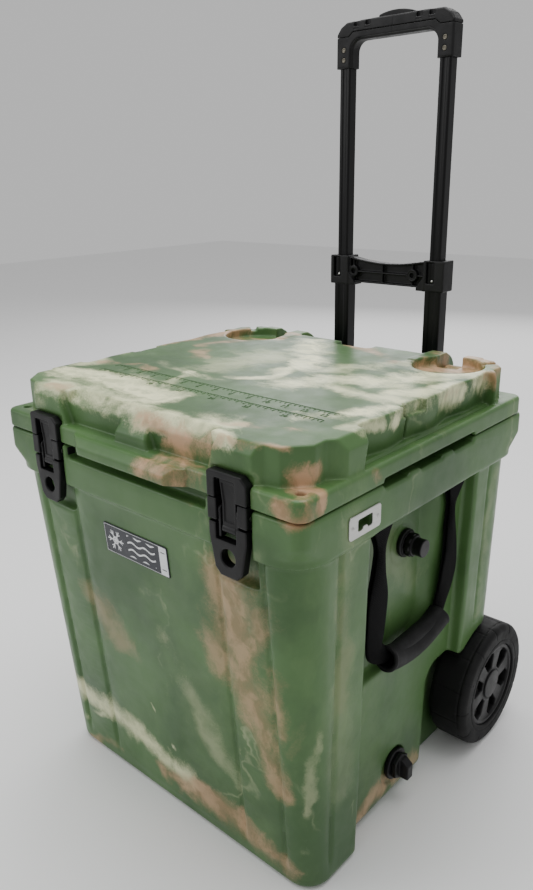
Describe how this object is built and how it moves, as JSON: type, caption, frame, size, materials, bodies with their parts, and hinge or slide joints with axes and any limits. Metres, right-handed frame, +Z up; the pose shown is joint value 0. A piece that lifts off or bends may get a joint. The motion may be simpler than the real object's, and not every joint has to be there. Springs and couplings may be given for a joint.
{
  "type": "cooler on wheels",
  "caption": "Insulated hard cool box with hinged lid, cam latches, wheels on an axle, webbing carry handles and a telescopic pull handle",
  "frame": {"origin": "on the ground, at the middle of the underside of the tub, below the middle of the rim", "axes": "+X is right seen from the front, +Y is the back where the pull handle is, +Z is up"},
  "size_m": [0.479, 0.5085, 0.942],
  "materials": {
    "tub_plastic": "moulded satin",
    "lid_plastic": "moulded satin, marbled",
    "foam": "rigid insulating foam",
    "latch_plastic": "fine texture",
    "fitting_plastic": "fine texture",
    "handle_plastic": "satin",
    "hub_plastic": "satin",
    "badge": "printed label",
    "steel": "brushed",
    "handle_tube": "black coating",
    "gasket_rubber": "soft",
    "grip_rubber": "soft",
    "tyre": "moulded",
    "webbing": "woven"
  },
  "bodies": {
    "tub": {"tub_shell": "tub_plastic", "tub_liner": "tub_plastic", "tub_foam": "foam", "latch_brackets": "latch_plastic", "latch_pivot_pins": "steel", "badge_plate": "badge", "lock_plates": "steel", "lock_plate_screws": "steel", "vent_body": "fitting_plastic", "drain_body": "fitting_plastic", "strap_anchors": "steel", "axle": "steel", "axle_nuts": "steel", "rail_tubes": "handle_tube", "rail_bracket_upper": "handle_plastic", "rail_bracket_lower": "handle_plastic", "rail_screws": "steel", "hinge_rods": "steel"},
    "lid": {"lid_shell": "lid_plastic", "lid_foam": "foam", "lid_gasket": "gasket_rubber"},
    "vent_cap": {"vent_cap": "fitting_plastic"},
    "drain_plug": {"drain_plug": "fitting_plastic"},
    "handle_middle": {"middle_tubes": "handle_tube", "middle_bracket": "handle_plastic"},
    "handle_top": {"top_tubes": "handle_tube", "grip_body": "handle_plastic", "grip_cover": "handle_plastic", "grip_screws": "steel", "button_spring": "steel"},
    "button": {"release_button": "handle_plastic"},
    "lever_left": {"latch_lever_left": "latch_plastic", "link_pin_left": "steel"},
    "hook_left": {"latch_hook_left": "latch_plastic"},
    "wheel_left": {"tyre_left": "tyre", "hub_left": "hub_plastic", "hub_cap_left": "hub_plastic"},
    "carry_left": {"straps_left": "webbing", "carry_grip_left": "grip_rubber"},
    "lever_right": {"latch_lever_right": "latch_plastic", "link_pin_right": "steel"},
    "hook_right": {"latch_hook_right": "latch_plastic"},
    "wheel_right": {"tyre_right": "tyre", "hub_right": "hub_plastic", "hub_cap_right": "hub_plastic"},
    "carry_right": {"straps_right": "webbing", "carry_grip_right": "grip_rubber"}
  },
  "joints": [
    {"name": "lid_hinge", "type": "hinge", "parent": "tub", "child": "lid", "pos_m": [0, 0.204, 0.501], "axis": [-1, 0, 0], "range_deg": [0, 90]},
    {"name": "middle_slide", "type": "slide", "parent": "tub", "child": "handle_middle", "axis": [0, 0, -1], "range_m": [0, 0.17]},
    {"name": "top_slide", "type": "slide", "parent": "handle_middle", "child": "handle_top", "axis": [0, 0, -1], "range_m": [0, 0.24]},
    {"name": "button_press", "type": "slide", "parent": "handle_top", "child": "button", "axis": [0, 0, -1], "range_m": [0, 0.004], "stiffness_N_per_m": 800, "springref_m": -0.003, "deforming": ["button_spring"]},
    {"name": "vent_turn", "type": "hinge", "parent": "tub", "child": "vent_cap", "pos_m": [0.19, 0.017, 0.35], "axis": [1, 0, 0], "range_deg": [-180, 180]},
    {"name": "drain_turn", "type": "hinge", "parent": "tub", "child": "drain_plug", "pos_m": [0.199, 0.004, 0.052], "axis": [1, 0, 0], "range_deg": [-180, 180]},
    {"name": "lever_turn_left", "type": "hinge", "parent": "tub", "child": "lever_left", "pos_m": [-0.145, -0.2165, 0.457], "axis": [-1, 0, 0], "range_deg": [0, 120]},
    {"name": "hook_turn_left", "type": "hinge", "parent": "lever_left", "child": "hook_left", "pos_m": [-0.145, -0.2175, 0.4395], "axis": [-1, 0, 0], "range_deg": [-120, 0]},
    {"name": "lever_turn_right", "type": "hinge", "parent": "tub", "child": "lever_right", "pos_m": [0.145, -0.2165, 0.457], "axis": [-1, 0, 0], "range_deg": [0, 120]},
    {"name": "hook_turn_right", "type": "hinge", "parent": "lever_right", "child": "hook_right", "pos_m": [0.145, -0.2175, 0.4395], "axis": [-1, 0, 0], "range_deg": [-120, 0]},
    {"name": "wheel_spin_left", "type": "hinge", "parent": "tub", "child": "wheel_left", "pos_m": [-0.2125, 0.185, 0.085], "axis": [1, 0, 0], "continuous": true},
    {"name": "carry_swing_left", "type": "hinge", "parent": "tub", "child": "carry_left", "pos_m": [-0.213, 0.007, 0.408], "axis": [0, 1, 0], "range_deg": [0, 100]},
    {"name": "wheel_spin_right", "type": "hinge", "parent": "tub", "child": "wheel_right", "pos_m": [0.2125, 0.185, 0.085], "axis": [1, 0, 0], "continuous": true},
    {"name": "carry_swing_right", "type": "hinge", "parent": "tub", "child": "carry_right", "pos_m": [0.213, 0.007, 0.408], "axis": [0, -1, 0], "range_deg": [0, 100]}
  ],
  "couplings": [
    {"joint": "hook_turn_left", "follows": "lever_turn_left", "ratio": -1},
    {"joint": "hook_turn_right", "follows": "lever_turn_right", "ratio": -1}
  ]
}
